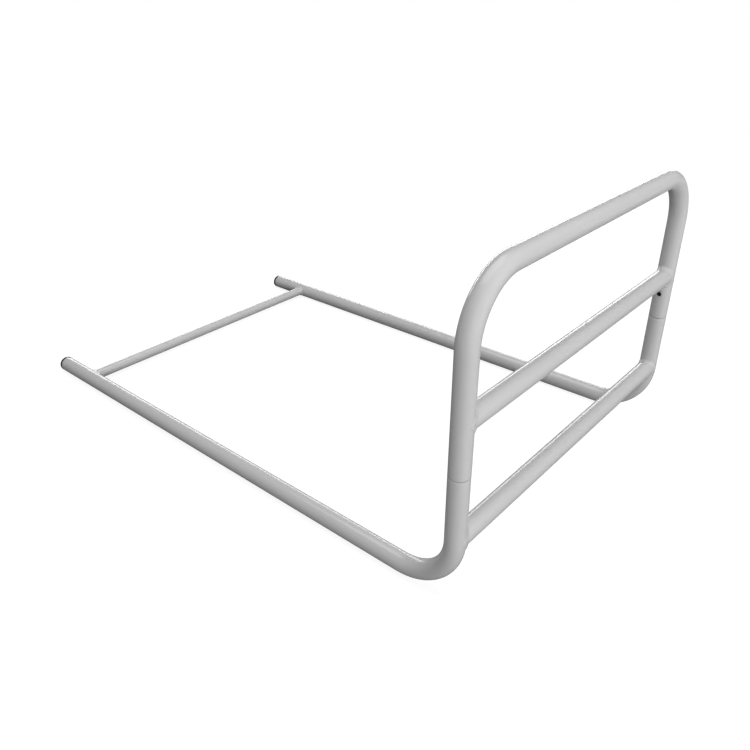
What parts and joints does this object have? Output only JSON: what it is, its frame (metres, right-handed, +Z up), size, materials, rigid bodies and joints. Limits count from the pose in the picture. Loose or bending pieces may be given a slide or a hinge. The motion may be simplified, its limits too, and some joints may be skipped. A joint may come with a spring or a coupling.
{
  "type": "bed assist rail",
  "caption": "Tubular bed assist rail: a welded base that slides under a mattress carries a lift-off hand rail locked by two push buttons.",
  "frame": {"origin": "centre of the footprint's bounding box, on the plane that the two legs rest on", "axes": "+Z up; +Y from the hand rail back along the legs, under the mattress; +X from the left upright to the right one"},
  "size_m": [0.5504, 0.882, 0.411],
  "materials": {
    "frame_coat": "semi-gloss pale grey powder coat on steel tube",
    "weld_coat": "the same powder coat over the weld fillets",
    "zinc_steel": "bright zinc-plated steel sleeve, hidden while assembled",
    "black_plastic": "moulded black plastic, fine satin surface"
  },
  "bodies": {
    "base": {"left_leg_tube": "frame_coat", "right_leg_tube": "frame_coat", "lower_cross_bar": "frame_coat", "rear_brace": "frame_coat", "left_spigot": "zinc_steel", "right_spigot": "zinc_steel", "left_end_cap": "black_plastic", "right_end_cap": "black_plastic", "left_lower_weld": "weld_coat", "right_lower_weld": "weld_coat", "left_brace_weld": "weld_coat", "right_brace_weld": "weld_coat"},
    "handle": {"handle_tube": "frame_coat", "mid_cross_bar": "frame_coat", "left_mid_weld": "weld_coat", "right_mid_weld": "weld_coat"},
    "left_button": {"left_snap_clip": "black_plastic"},
    "right_button": {"right_snap_clip": "black_plastic"}
  },
  "joints": [
    {"name": "handle_lift", "type": "slide", "parent": "base", "child": "handle", "axis": [0, 0, 1], "range_m": [0, 0.075], "deforming": ["left_snap_clip", "right_snap_clip"]},
    {"name": "left_button_press", "type": "slide", "parent": "base", "child": "left_button", "axis": [-1, 0, 0], "range_m": [0, 0.0032], "stiffness_N_per_m": 1500, "springref_m": -0.002},
    {"name": "right_button_press", "type": "slide", "parent": "base", "child": "right_button", "axis": [1, 0, 0], "range_m": [0, 0.0032], "stiffness_N_per_m": 1500, "springref_m": -0.002}
  ]
}
